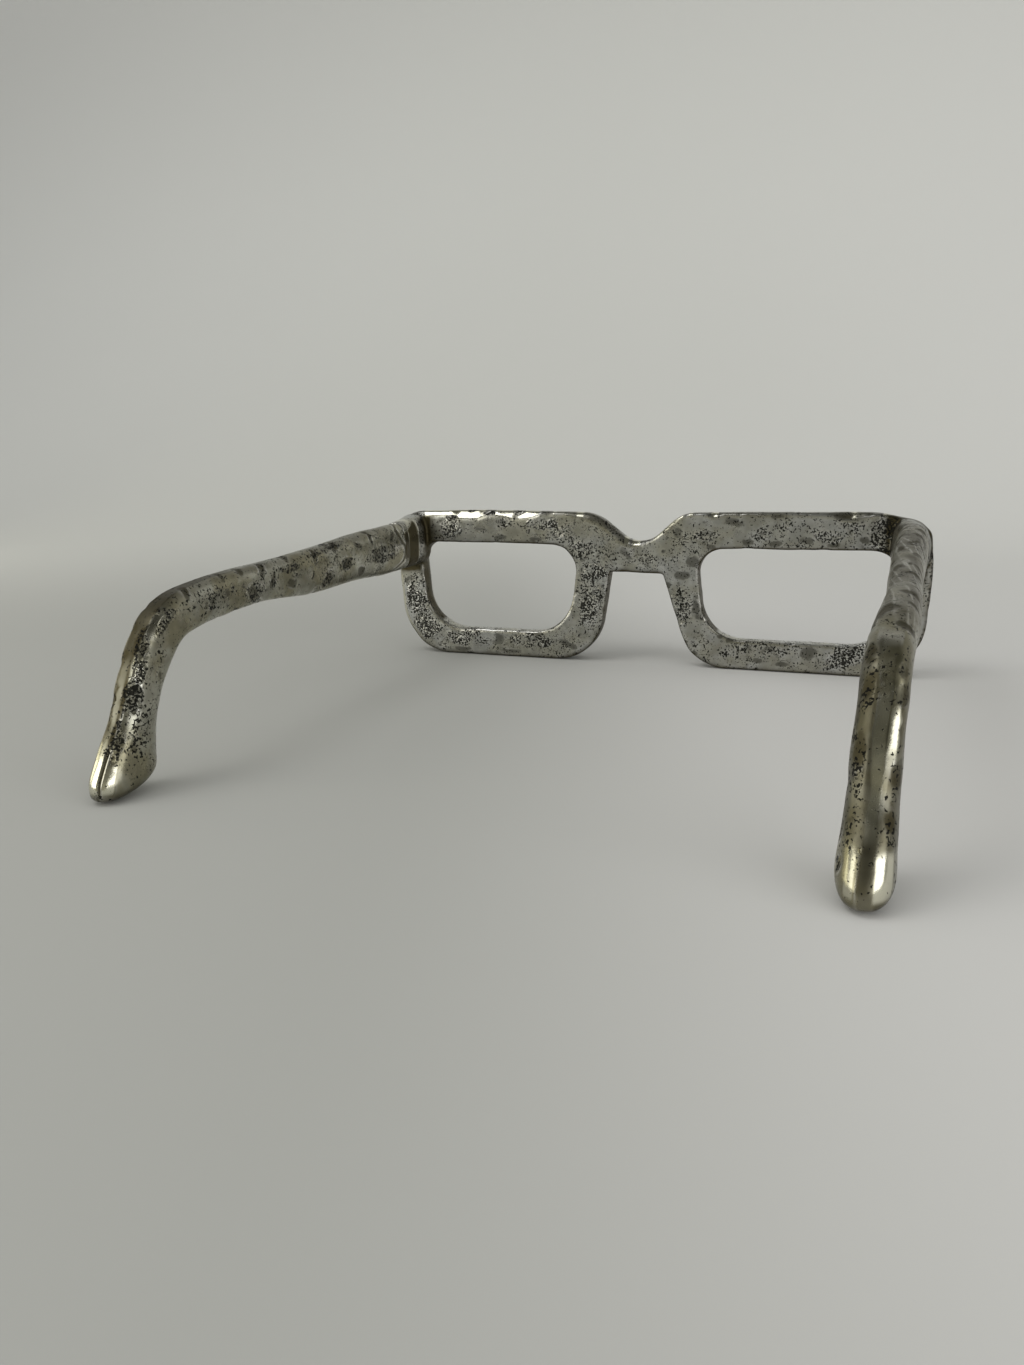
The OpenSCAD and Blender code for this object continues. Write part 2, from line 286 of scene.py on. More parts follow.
def noise(points, cell, seed):
    """Smooth noise from -1 to 1 whose bumps are about one cell wide."""
    p = points / cell + 1000.37
    base = np.floor(p).astype(np.int64)
    f = p - base
    f = f * f * f * (f * (f * 6 - 15) + 10)
    shares = (1 - f, f)
    total = np.zeros(len(points))
    for corner in product((0, 1), repeat=3):
        x, y, z = (shares[way][:, axis] for axis, way in enumerate(corner))
        total += x * y * z * hashed(base + corner, seed)
    return 2 * total - 1


def step(low, high, value):
    """0 on the far side of low, 1 beyond high, and a smooth rise between them."""
    t = np.clip((value - low) / (high - low), 0, 1)
    return t * t * (3 - 2 * t)


def within(value, low, full, last, high):
    """1 from full to last, and a smooth fall to 0 at low and at high."""
    return step(low, full, value) * step(high, last, value)


def peak(value, place, width):
    """1 at the place, and a bell-shaped fall to both sides."""
    return np.exp(-(((value - place) / width) ** 2))


def highest(*fields):
    """The highest of the fields at each point."""
    return reduce(np.maximum, fields)


def turned_from(degrees, start):
    """How far degrees lies beyond the start, the short way round."""
    return (degrees - start + 180) % 360 - 180


def unit(v):
    return v / np.maximum(np.linalg.norm(v, axis=-1, keepdims=True), 1e-9)


class Surface:
    """A mesh as arrays, which can be pushed along its normals."""

    def __init__(self, points, faces):
        self.points = np.array(points, float)
        self.faces = np.array(faces, int)
        edges = np.concatenate([self.faces[:, [i, (i + 1) % 4]] for i in range(4)])
        edges = edges[edges[:, 0] != edges[:, 1]]
        edges = np.unique(np.sort(edges, axis=1), axis=0)
        self.a, self.b = edges.T
        self.count = np.bincount(edges.ravel(), minlength=len(self.points))[:, None]

    def around(self, values):
        """The mean of each point's neighbours."""
        a, b, n = self.a, self.b, len(self.points)
        columns = values.reshape(n, -1).T
        total = [np.bincount(a, v[b], n) + np.bincount(b, v[a], n) for v in columns]
        return np.stack(total, axis=1) / self.count

    def smooth(self, times, share=0.5, where=1.0):
        """Moves each point towards the mean of its neighbours."""
        for _ in range(times):
            self.points += (self.around(self.points) - self.points) * share * where

    def normals(self):
        p = self.points[self.faces]
        n = np.cross(p[:, 2] - p[:, 0], p[:, 3] - p[:, 1])
        count = len(self.points)
        total = [sum(np.bincount(f, v, count) for f in self.faces.T) for v in n.T]
        return unit(np.stack(total, axis=1))

    def bulge(self, times):
        """How far each point stands out of the surface round it, in millimetres."""
        mean = self.points
        for _ in range(times):
            mean = self.around(mean)
        return ((self.points - mean) * self.normals()).sum(axis=1)


def dimples(surface, marks):
    """How deep the hammer marks are at each point, how far inside one it lies and how pitted that
    mark is. A mark is [centre, radius along, radius across, direction, depth, pits, darkness], and
    its darkness is partly the darker tone of the marked metal and partly painted shade for the dark
    reflection of its dimple."""
    depth, share, rough = (np.zeros(len(surface.points)) for _ in range(3))
    for centre, along, across, way, deep, pits, stain_and_shade in marks:
        reach = max(along, across) * 1.7
        near = np.flatnonzero((np.abs(surface.points - centre) < reach).all(axis=1))
        if not len(near):
            continue
        d = surface.points[near] - centre
        u = d @ way
        rest = np.linalg.norm(d - np.outer(u, way), axis=1)
        r = np.sqrt((u / along) ** 2 + (rest / across) ** 2)
        r = r * (1 + 0.3 * noise(surface.points[near], 2.3, 91))
        depth[near] = highest(depth[near], deep * step(1.15, 0.2, r))
        strong = stain_and_shade * (0.95 + 0.3 * noise(centre[None], 3.0, 92)[0])
        share[near] = highest(share[near], np.clip(1.4 - r, 0, 1) * strong)
        rough[near] = highest(rough[near], pits * step(1.5, 0.8, r))
    return depth, share, rough


def scattered_marks(surface, normals, rng, spacing, radius, slim, depth, keep):
    """Hammer marks spread over the kept points, no two closer than the spacing. radius, slim
    (the width as a share of the length) and depth are ranges."""
    order = rng.permutation(len(surface.points))
    centres, marks = [], []
    for i in order[: len(order) // 3]:
        p = surface.points[i]
        if not keep[i]:
            continue
        if centres and (np.linalg.norm(np.array(centres) - p, axis=1) < spacing).any():
            continue
        centres.append(p)
        way = rng.normal(size=3)
        way = unit(way - (way @ normals[i]) * normals[i])
        size = rng.uniform(*radius)
        across = size * rng.uniform(*slim)
        pits = rng.choice([0.1, 0.5, 0.9])
        marks.append([p, size, across, way, rng.uniform(*depth), pits, 0.3])
    return marks


def as_object(name, surface, fields, material, node):
    """Makes the piece that shows in place of a node, with its fields as attributes."""
    faces = [f[:3] if f[2] == f[3] else f for f in surface.faces.tolist()]
    mesh = new_mesh(name, (surface.points * MM).tolist(), faces)
    mesh.validate()
    mesh.shade_smooth()
    for key, values in fields.items():
        layer = mesh.attributes.new(key, "FLOAT", "POINT")
        layer.data.foreach_set("value", np.asarray(values, np.float32))
    mesh.materials.append(material)
    piece = new_object(name, mesh)
    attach(piece, "root")
    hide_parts(node)


# The shape of the front


# Corners of its outline and of its two openings: x, z and radius
OUTSIDE = [
    (119.6, 66.8, 14.6), (75.0, 67.5, 500.0), (19.6, 66.3, 20.0), (-0.6, 50.2, 13.0),
    (-18.6, 66.4, 15.0), (-96.5, 66.4, 30.0), (-107.5, 64.1, 18.0), (-115.9, 59.6, 6.5),
    (-117.3, 46.0, 40.0), (-116.0, 0.0, 24.5), (-24.0, 0.0, 20.0), (-10.6, 40.2, 1.2),
    (13.0, 40.8, 1.2), (18.9, 0.0, 22.6), (115.5, 0.0, 25.0),
]
LEFT_OPENING = [
    (104.9, 53.0, 8.6), (26.6, 52.2, 11.8), (32.3, 12.4, 19.4), (102.0, 12.5, 19.4),
]
RIGHT_OPENING = [
    (-24.6, 51.4, 10.2), (-105.9, 51.4, 10.6), (-104.4, 12.7, 18.0), (-29.4, 12.9, 17.4),
]
# How wide the edge of the top is ground, along x
TOP_EDGE = [
    (-125, 1.6), (-95, 1.8), (-85, 3.2), (-76, 1.8), (-60, 1.4), (-36, 1.6), (-32, 2.6), (-28, 1.5),
    (-24, 1.8), (-20, 1.4), (-8, 1.4), (-4, 1.8), (0, 2.6), (9, 2.8), (20, 2.8), (25, 2.6), (28, 2.4),
    (32, 1.8), (44, 1.8), (50, 3.2), (55, 3.9), (60, 3.7), (66, 2.6), (71, 2.8), (75, 4.1), (85, 4.2),
    (88, 2.7), (93, 2.5), (101, 3.0), (107, 2.4), (125, 2.0),
]
# Where that edge is polished: middle and half length, along x
TOP_POLISH = [
    (87, 15.5), (62.5, 4.2), (50.5, 5.5), (38.5, 0.7), (26.5, 1.6), (5.5, 0.8), (1, 1.7), (-13, 6.5),
    (-22.5, 1.0), (-32, 1.6), (-87, 1.2), (-99, 1.3),
]


def outline(corners, spacing=0.9):
    """Points and outward normals along an outline with rounded corners. It turns
    anticlockwise; where it turns the other way the corner is hollow."""
    points, normals = [], []
    for i in range(len(corners)):
        a, p, b = (np.array(corners[(i + k) % len(corners)][:2]) for k in (-1, 0, 1))
        r = corners[i][2]
        to_a, to_b = unit(a - p), unit(b - p)
        half = np.arccos(to_a @ to_b) / 2
        bulge = np.sign(to_b[0] * to_a[1] - to_b[1] * to_a[0])
        centre = p + unit(to_a + to_b) * r / sin(half)
        start = p + to_a * r / np.tan(half) - centre
        sweep = bulge * (pi - 2 * half)
        steps = max(6, int(abs(sweep) * (r + 3) / spacing))
        for k in range(steps + 1):
            t = sweep * k / steps
            spoke = np.array([[cos(t), -sin(t)], [sin(t), cos(t)]]) @ start
            points.append(centre + spoke)
            normals.append(unit(spoke) * bulge)
    points, normals = np.array(points), np.array(normals)
    gaps = np.roll(points, -1, axis=0) - points
    length = np.linalg.norm(gaps, axis=1)
    runs = []
    for i in range(len(points)):
        count = max(1, int(length[i] / spacing))
        share = np.arange(count)[:, None] / count
        tilt = (normals[(i + 1) % len(points)] - normals[i]) * share
        runs.append(np.hstack([points[i] + gaps[i] * share, unit(normals[i] + tilt)]))
    runs = np.concatenate(runs)
    return runs[:, :2], runs[:, 2:]


def edge_width(at, top, side):
    """How wide the edge on the back is ground. top is 1 along the top of the front, and side
    is 1 for the outline, -1 for an opening."""
    if side < 0:
        plain = np.full(len(at), 1.0)
    else:
        x = at[:, 0]
        nose = step(46, 40, at[:, 1]) * step(27, 22, np.abs(x)) * step(9, 12, np.abs(x))
        plain = 1.8 - 0.8 * nose + 2.2 * step(106, 112, x)
    ground = np.interp(at[:, 0], *np.array(TOP_EDGE).T)
    spot = np.stack([at[:, 0], at[:, 0] * 0, at[:, 1]], axis=1)
    return plain * (1 - top) + ground * top + 0.25 * noise(spot, 8.0, 5)


def front_blank():
    """The plate with its two openings as a closed shell. Its edges are narrow on the back, as
    ground, and well rounded on the front."""
    turns = [pi / 2 * (1 - i / EDGE_STEPS) for i in range(EDGE_STEPS + 1)]
    rows = [(a, 1) for a in turns] + [(a, -1) for a in turns[::-1]]
    points, faces, loops = [], [], []
    for corners, side in ((OUTSIDE, 1), (LEFT_OPENING, -1), (RIGHT_OPENING, -1)):
        at, normal = outline(corners)
        count = len(at)
        base = len(points)
        # The top edge is ground to a flat bevel where it is wide
        top = step(0.2, 0.9, normal[:, 1]) if side > 0 else np.zeros(count)
        ground = edge_width(at, top, side)
        bevel = top * step(1.6, 2.6, ground)
        for a, end in rows:
            if end > 0:
                edge, deep, power = ground, ground * (1 - 0.22 * bevel), 2.1 - 0.93 * bevel
            else:
                edge, deep, power = (np.full(count, v) for v in (FACE_EDGE, FACE_EDGE_DEPTH, 2.0))
            across = edge * (1 - max(cos(a), 0.0) ** (2 / power))
            y = BAR_DEPTH / 2 - deep * (1 - sin(a) ** (2 / power))
            q = at - normal * (across * side)[:, None]
            back = FRONT_BACK_Y - BAR_DEPTH / 2
            points += [(q[i][0], back + end * y[i], q[i][1]) for i in range(count)]
        for k in range(len(rows) - 1):
            low, high = base + k * count, base + (k + 1) * count
            for i in range(count):
                j = (i + 1) % count
                face = (low + i, high + i, high + j, low + j)
                faces.append(face if side < 0 else face[::-1])
        loops.append((base, count))
    # The back face and the front face, each with its two openings
    for k, facing in ((0, 1), (len(rows) - 1, -1)):
        borders = [list(range(base + k * m, base + (k + 1) * m)) for base, m in loops]
        level = [[(points[i][0], points[i][2], 0.0) for i in border] for border in borders]
        indices = [i for border in borders for i in border]
        for corners in tessellate_polygon(level):
            face = [indices[i] for i in corners]
            a, b, c = (np.array(points[i]) for i in face)
            outward = np.cross(b - a, c - a)[1] * facing > 0
            faces.append(tuple(face if outward else face[::-1]))
    return points, faces


def ring(centre, across, up, way, power, count, flat=1.0, shrink=0.0):
    """A section of a temple or a lug: an oval that is nearly a rounded rectangle. flat below
    1 cuts its upper side level at that share of the half height."""
    a = np.arange(count) * 2 * pi / count
    x = np.sign(np.cos(a)) * np.abs(np.cos(a)) ** (2 / power)
    h = np.sign(np.sin(a)) * np.abs(np.sin(a)) ** (2 / power)
    h = np.minimum(h, flat) * (2 / (1 + flat)) - (1 - flat) / (1 + flat)
    x = x * (across - shrink)
    h = h * (up - shrink)
    return np.stack([centre[0] + x, centre[1] + h * way[0], centre[2] + h * way[1]], axis=1)


def loft(rings):
    """A closed shell of quads through the rings, with a fan of slim quads on each end."""
    rings = [np.array(r) for r in rings]
    n, last = len(rings[0]), len(rings) - 1
    points = np.concatenate(rings + [rings[0].mean(0)[None], rings[-1].mean(0)[None]])
    i = np.arange(n)
    j = (i + 1) % n
    faces = []
    for k in range(last):
        low, high = k * n, (k + 1) * n
        faces.append(np.stack([low + j, low + i, high + i, high + j], 1))
    start_middle, end_middle = np.full(n, len(points) - 2), np.full(n, len(points) - 1)
    faces.append(np.stack([i, j, start_middle, start_middle], 1))
    faces.append(np.stack([last * n + j, last * n + i, end_middle, end_middle], 1))
    return points, np.concatenate(faces)


# Hammer marks seen on the back of the front: place across and up, half length, half width,
# tilt in degrees, and how pitted they are
BACK_MARKS = [
    (88.5, 63.5, 2.8, 1.8, 0, 0.9), (63, 62, 3.5, 2.2, 10, 0.9), (73, 58.5, 3.5, 1.2, 5, 0.8),
    (64.5, 55.2, 3.5, 1.2, 0, 0.1), (47, 54.5, 3, 1, 0, 0.1), (25, 51, 3.6, 2.8, 30, 1.0),
    (6, 49, 3.4, 1.6, 48, 0.6), (17, 31, 1.8, 1.6, 0, 0.3), (24, 29, 3, 2, 60, 0.9),
    (32, 7, 4, 1.5, 20, 0.1), (47, 10.5, 2.6, 2.4, 0, 0.4), (54.5, 12.7, 3.5, 1.3, 0, 0.1),
    (66, 8.5, 2.8, 2.7, 0, 0.4), (88, 9.6, 3.2, 2, 0, 0.6), (105.7, 18.8, 3.2, 3.0, 0, 1.0),
    (111.5, 34, 3, 2, 0, 0.4), (113, 41.3, 6, 2, 0, 0.3), (84.5, 2.6, 4, 1, 0, 0.2),
    (60.6, 2.6, 5, 1, 0, 0.2), (101.5, 56, 9, 2.2, 90, 0.1), (12.5, 38, 2, 0.9, 80, 0.2),
    (-4.1, 45.5, 2.2, 1.6, 90, 0.4), (-16.6, 58, 2.5, 1.8, 90, 0.6), (-11, 50, 1.3, 1, 0, 0.5),
    (-24.5, 45.5, 3, 2.6, 20, 0.1), (-19.7, 40, 3.5, 1.8, 10, 0.3), (-19, 29.5, 5.5, 1.8, 71, 0.9),
    (-26, 26, 5, 1.7, 75, 0.1), (-12.8, 35.5, 1.7, 1.2, 60, 0.2), (-30.8, 52.2, 2, 1.3, 0, 0.1),
    (-40.3, 62.6, 3.5, 1.8, 0, 0.5), (-29.5, 57.6, 4, 1.5, 0, 0.8), (-45.8, 54.3, 2.5, 1.2, 0, 0.1),
    (-52, 58, 2.8, 1.7, 0, 0.9), (-57, 53.8, 3, 1.2, 0, 0.1), (-58, 65, 3, 1, 0, 0.2),
    (-84, 64.8, 5, 1.8, 0, 0.2), (-69, 55, 3.5, 1.2, 0, 0.1), (-80, 53.5, 3, 1, 0, 0.2),
    (-97, 59.5, 3.8, 4.6, 0, 1.0), (-40, 13, 2, 1.5, 0, 0.4), (-47.4, 9.7, 3, 2.2, 0, 0.9),
    (-56.2, 9.7, 3.5, 2, 0, 0.8), (-52, 4.5, 2, 1, 0, 0.4), (-61.6, 3.7, 2.5, 1.2, 0, 0.4),
    (-72.4, 8.8, 3.1, 3.0, 0, 0.4), (-86.2, 9.2, 4, 2.5, 0, 1.0), (-20.7, 11.3, 1.5, 1.2, 0, 0.6),
    (-25, 6.5, 1.3, 1, 0, 0.6), (-36, 14, 1.5, 1, 0, 0.2), (-92, 55.5, 3, 1.4, 10, 0.3),
]
# Where the back of the front is pitted: place, half length, half height, and how much
BACK_SPECKLE = [
    (108, 28, 6, 12, 0.75), (103, 12, 7, 6, 0.85), (82, 8, 12, 4, 0.8), (50, 8.5, 11, 4, 0.8),
    (36, 10, 7, 4, 0.4), (22, 32, 6, 14, 0.75), (20, 40, 6, 4, 0.95), (25, 50, 7, 5, 0.6),
    (62, 61, 12, 3, 0.55), (44, 61.5, 8, 3, 0.9), (40, 58, 8, 4, 0.5), (89, 60, 6, 5, 0.7),
    (104, 55, 3, 10, 0.4), (16, 51, 12, 7, 0.45), (-14, 47, 4, 6, 0.65), (-29, 57, 6, 3, 0.75),
    (-52, 58, 5, 3, 0.65), (-65, 61, 9, 3, 0.5), (-78, 57, 6, 3, 0.8), (-86, 60, 6, 4, 0.65),
    (-3, 45.5, 9, 4, 0.5),
    (-97, 59, 5, 6, 0.9), (-20, 28, 4, 9, 0.6), (-30, 13, 5, 4, 0.55), (-50, 8, 16, 5, 0.6),
    (-79, 6, 8, 4, 0.65), (-87, 9, 6, 5, 0.75), (-22, 10, 5, 4, 0.55), (-93, 12, 4, 5, 0.7),
    (69.5, 66.2, 3.6, 1.1, 1.0), (55, 66.3, 4.2, 1.4, 1.0), (88.5, 64.3, 3, 1.0, 1.0),
    (79, 67, 2, 0.6, 0.9),
]
# The same on the temples: distance run, degrees round from the outer side over the top, half
# length, half width, tilt, and how pitted they are
LEFT_MARKS = [
    (50, 141, 3.6, 1.1, 85, 0.9), (51, 106, 1.6, 1.4, 0, 0.3), (78, 125, 3.6, 2.4, 20, 0.9),
    (82, 98, 3, 1.6, 70, 0.9), (94, 132, 4.2, 1.5, 75, 0.9), (111, 100, 3.4, 1.8, 80, 0.8),
    (127, 133, 6, 1.8, 70, 0.9), (139, 110, 3, 1.4, 80, 0.2), (149, 112, 2.5, 1.3, 80, 0.2),
    (165, 115, 4.2, 1.6, 60, 0.5), (72, 180, 3.6, 2.2, 0, 1.0), (86, 198, 3.8, 2.4, 20, 0.9),
    (111, 190, 2.6, 1.8, 0, 0.5), (134, 192, 4.2, 3.2, 0, 1.0), (158, 184, 1.8, 2.4, 0, 1.0),
    (149, 178, 1.6, 1.4, 0, 0.7), (122, 178, 3, 1.4, 60, 0.7), (189, 108, 4.5, 2.0, 8, 1.0),
    (202, 124, 4.2, 3.2, 15, 1.0), (213, 112, 3, 2, 20, 0.9), (30, 150, 3, 1.6, 40, 0.3),
    (62, 150, 3, 1.6, -30, 0.5), (60, 205, 3, 2, 0, 0.3),
]
LEFT_SPECKLE = [
    (40, 182, 18, 16, 0.8), (30, 150, 9, 32, 0.7), (180, 150, 7, 16, 0.9), (189, 108, 7, 8, 1.0),
    (202, 124, 5, 17, 1.0), (196, 132, 4, 20, 0.7), (211, 104, 8, 8, 0.7), (213, 165, 10, 34, 0.55),
    (218, 120, 5, 12, 0.8), (200, 64, 16, 7, 0.7), (112, 158, 8, 14, 0.85), (162, 165, 14, 22, 0.6),
    (78, 125, 8, 16, 0.6), (95, 135, 5, 16, 0.6), (72, 182, 7, 12, 0.8), (134, 192, 8, 16, 0.8),
    (189, 168, 6, 14, 0.6),
]
RIGHT_MARKS = [
    (43, 56, 3.8, 1.8, -38, 0.2), (81, 55, 3.2, 1.8, 43, 0.1), (114, 62, 3.8, 2.2, -50, 0.1),
    (99, 85, 2.2, 0.8, 0, 0.2), (136, 42, 5, 1.0, -80, 0.3), (146, 63, 3.4, 2.0, -45, 0.2),
    (157, 56, 2.4, 1.4, -50, 0.3), (169.5, 54, 4.4, 1.8, -58, 0.2), (62, 40, 4, 1.4, -50, 0.2),
    (100, 40, 4, 1.4, -50, 0.2), (183, 55, 2.2, 1.6, 0, 0.4), (188.5, 47, 2.8, 2, 0, 0.5),
    (204, 46, 2.8, 2, 0, 0.5), (213, 48, 2.4, 1.5, 0, 0.4), (187, 122, 4, 2, 0, 0.5),
    (200, 125, 4, 2.2, 0, 0.4), (178, 130, 3, 2, 0, 0.4), (25, 118, 5, 1.2, 15, 0.3),
    (45, 125, 6, 1.2, 15, 0.3), (72, 112, 5, 1.3, 0, 0.3), (103, 118, 4, 1.8, 0, 0.4),
    (162, 118, 5, 2.4, 20, 0.2), (60, 75, 5, 1.2, 20, 0.2), (26, 62, 4, 2.0, 30, 0.2),
]
RIGHT_SPECKLE = [
    (186, 125, 8, 24, 0.5), (204, 122, 10, 22, 0.5), (180, 48, 8, 16, 0.45), (205, 46, 7, 14, 0.55),
    (214, 46, 7, 12, 0.5), (20, 110, 10, 25, 0.4), (50, 30, 20, 30, 0.4),
]

# Stations of a temple in its side view, as seen on the left one: distance behind the front
# and height of its upper edge, the same of its lower edge, distance of its middle from the end
# of the front, and half its thickness
STATIONS = np.array([
    [0, 63.2, 0, 42.6, 8.8, 6.0],
    [15, 63.1, 15, 41.9, 9.8, 5.8],
    [35, 62.3, 35, 41.6, 10.7, 5.5],
    [60, 61.5, 60, 42.5, 11.7, 5.3],
    [95, 59.0, 95, 42.5, 12.5, 5.0],
    [130, 57.6, 130, 43.9, 13.2, 4.7],
    [155, 56.7, 153, 43.0, 14.3, 4.9],
    [174, 54.2, 163.3, 42.3, 15.5, 5.3],
    [184.4, 49.4, 172.8, 40.2, 16.3, 5.6],
    [191.0, 41.6, 179.4, 34.8, 16.6, 5.5],
    [197.0, 32.4, 184.8, 28.3, 17.1, 5.6],
    [202.2, 22.0, 188.2, 20.4, 17.3, 5.6],
    [208.7, 13.2, 189.7, 12.9, 17.6, 5.9],
    [213.9, 5.5, 190.7, 6.6, 17.9, 6.4],
])


def stations_at(u):
    """The stations' values at fractional places along the list, on a smooth curve."""
    count = len(STATIONS)
    k = np.clip(np.floor(u).astype(int), 0, count - 2)
    t = (u - k)[:, None]
    p = [STATIONS[np.clip(k + d, 0, count - 1)] for d in (-1, 0, 1, 2)]
    return 0.5 * (
        2 * p[1]
        + (p[2] - p[0]) * t
        + (2 * p[0] - 5 * p[1] + 4 * p[2] - p[3]) * t**2
        + (3 * p[1] - p[0] - 3 * p[2] + p[3]) * t**3
    )


Sections = namedtuple("Sections", "middle up way inset across at")


def side_sections(spacing):
    """Sections of a lug and temple at even steps: middle as y behind the front and z, half
    height, direction of the height, middle's distance from the end of the front, half
    thickness, and distance run."""
    u = np.linspace(0, len(STATIONS) - 1, 4000)
    s = stations_at(u)
    middle = (s[:, 0:2] + s[:, 2:4]) / 2
    run = np.concatenate([[0], np.cumsum(np.linalg.norm(np.diff(middle, axis=0), axis=1))])
    at = np.arange(0, run[-1], spacing)
    s = np.stack([np.interp(at, run, column) for column in s.T], axis=1)
    middle = (s[:, 0:2] + s[:, 2:4]) / 2
    half = (s[:, 0:2] - s[:, 2:4]) / 2
    up = np.linalg.norm(half, axis=1)
    return Sections(middle, up, half / up[:, None], s[:, 4], s[:, 5], at)


def mirrored(rings, side):
    """The rings themselves for the left side, their mirror images for the right side."""
    if side > 0:
        return rings
    return [(r * [-1, 1, 1])[::-1] for r in rings]


def lug_rings(side, sections):
    """A lug from its root in the front to the joint."""
    rings = []
    for t in np.arange(-LUG_ROOT, LUG_LENGTH + 0.01, LUG_RING_GAP):
        k = np.argmin(np.abs(sections.at - max(t, 0)))
        left_over = 1 - max(t, 0) / LUG_LENGTH
        # The inner side runs straight out to a ridge and then leans to the temple's width
        flare = np.interp(t, [0, RIDGE_OUT, LUG_LENGTH], [2.3, 1.9, 0.0])
        lift = (2.4 if side > 0 else 1.4) * left_over**1.3
        r = ring(
            centre=(
                END_X - sections.inset[k] - flare / 2,
                FRONT_BACK_Y + t,
                sections.middle[k, 1] + lift / 2,
            ),
            across=sections.across[k] + flare / 2,
            up=sections.up[k] + lift / 2,
            way=(0.0, 1.0),
            power=LUG_POWER,
            count=LUG_ROUND,
            shrink=0.15 * step(LUG_LENGTH - 1.2, LUG_LENGTH, t),
        )
        if side < 0:
            # The top of the right lug falls away to its outer side
            fall = 3.2 * left_over * step(104, 118, r[:, 0])
            r[:, 2] -= fall * step(50, 62, r[:, 2])
        rings.append(r)
    return mirrored(rings, side)


def temple_rings(side, sections, first, power, flat, shrink):
    """A temple from the joint to its foot."""
    s, last = sections, len(sections.at) - 1
    rings = []
    for k in range(first, last + 1):
        centre = (END_X - s.inset[k], s.middle[k, 0] + FRONT_BACK_Y, s.middle[k, 1])
        sizes = s.across[k], s.up[k], s.way[k], power[k]
        rings.append(ring(centre, *sizes, ROUND, flat[k], shrink[k]))
    # Under the tip the sections shrink to a small flat foot, nearer to the back
    for q in np.arange(1, FOOT_RINGS + 1) / FOOT_RINGS:
        wide, high = ((1 - (q * turn) ** 2.2) ** (1 / 2.2) for turn in (0.87, 0.93))
        way = unit(s.way[last] * (1 - q) + np.array([1.0, -0.14]) * q)
        back = s.middle[last, 0] + FRONT_BACK_Y + 4.5 * q**2
        centre = (END_X - s.inset[last], back, s.middle[last, 1] * (1 - q))
        sizes = s.across[last] * wide, s.up[last] * high, way, power[last]
        rings.append(ring(centre, *sizes, ROUND, flat[last]))
    return mirrored(rings, side)


def weld_rings(side, sections):
    """The weld metal, from inside the lug to inside the temple."""
    rings = []
    for t in np.linspace(-1.6, SEAM_LENGTH + 0.8, 9):
        k = int(np.searchsorted(sections.at, LUG_LENGTH + t))
        centre = (END_X - sections.inset[k], FRONT_BACK_Y + LUG_LENGTH + t, sections.middle[k, 1])
        power = np.interp(t, [0, SEAM_LENGTH], [LUG_POWER, TEMPLE_POWER])
        sizes = sections.across[k], sections.up[k], (0.0, 1.0), power
        rings.append(ring(centre, *sizes, ROUND, shrink=0.06))
    return mirrored(rings, side)


def degrees_round(side, rings):
    """Degrees round from the outer side over the top, for each point of a loft."""
    turned = np.arange(ROUND) * 360.0 / ROUND
    turned = turned if side > 0 else turned[::-1]
    return np.append(np.tile(turned, len(rings)), [0.0, 0.0])


def remeshed(parts, size):
    """One even skin of quads round the closed shells, in millimetres."""
    points, faces = [], []
    for p, f in parts:
        faces += [[len(points) + int(i) for i in dict.fromkeys(face)] for face in f]
        points += [tuple(q) for q in p]
    mesh = new_mesh("blank", points, faces)
    blank = new_object("blank", mesh)
    skin = blank.modifiers.new("skin", "REMESH")
    skin.mode = "VOXEL"
    skin.voxel_size = size
    made = blank.evaluated_get(bpy.context.evaluated_depsgraph_get()).to_mesh()

    def column(items, key, size=1, kind=np.int32):
        values = np.zeros(len(items) * size, kind)
        items.foreach_get(key, values)
        return values

    at = column(made.vertices, "co", 3, np.float32)
    corners = column(made.loops, "vertex_index")
    starts, totals = (column(made.polygons, key) for key in ("loop_start", "loop_total"))
    quads = corners[starts[:, None] + np.minimum(np.arange(4), totals[:, None] - 1)]
    bpy.data.objects.remove(blank)
    bpy.data.meshes.remove(mesh)
    return Surface(at.reshape(-1, 3), quads)


def cast_skin(surface, marks, seed, waves, speckle, polish, skin, press=0.0, stretch=1.0):
    """Gives a smooth shape the skin of a hammered and half polished casting, and returns the fields
    that its metal needs. waves are the heights of its long and short waves, speckle is how pitted it
    is apart from its marks, skin how dark it is made, by the dark skin of the casting that is left
    and by painted shade, press a depth that is added, and stretch the shape of the waves."""
    p = surface.points.copy()
    n = surface.normals()
    rough = 1 - np.broadcast_to(polish, len(p))
    before = surface.bulge(3), surface.bulge(10)
    depth, share, pitted = dimples(surface, marks)
    field = noise(p, 9.0, seed + 1) + 0.6 * noise(p, 4.0, seed + 2)
    pits = np.clip(speckle + 0.28 * field, 0.0, 1.0)
    pits = highest(pits, pitted * (0.8 + 0.2 * noise(p, 2.5, seed + 3))) * rough
    push = waves[0] * noise(p * stretch, 14.0, seed + 4)
    push += waves[1] * noise(p * stretch, 6.0, seed + 5)
    push = push * (0.4 + 0.6 * rough) - (depth + press) * (0.25 + 0.75 * rough)
    grain = 0.05 * noise(p, 1.9, seed + 6) + 0.045 * noise(p, 1.15, seed + 7)
    push += (grain - 0.03) * step(0.3, 0.9, pits)
    surface.points += n * push[:, None]
    relief_and_painted_highlight = 0.5 + (surface.bulge(3) - before[0]) * 9 + (surface.bulge(10) - before[1]) * 3
    relief_and_painted_highlight += 0.4 * step(0.05, 0.2, before[0]) * (0.6 + 0.4 * noise(p, 5.0, seed + 9))
    return {
        "pits": pits,
        "stain_and_shade": share * (0.3 + 0.7 * rough),
        "relief_and_painted_highlight": np.clip(relief_and_painted_highlight, 0, 1),
        "polish": 1 - rough,
        # The dark tone, skin and painted shade alike, is stronger inside the marks
        "skin": np.clip(skin * (1 + 0.8 * share), 0, 1),
    }


# The metal


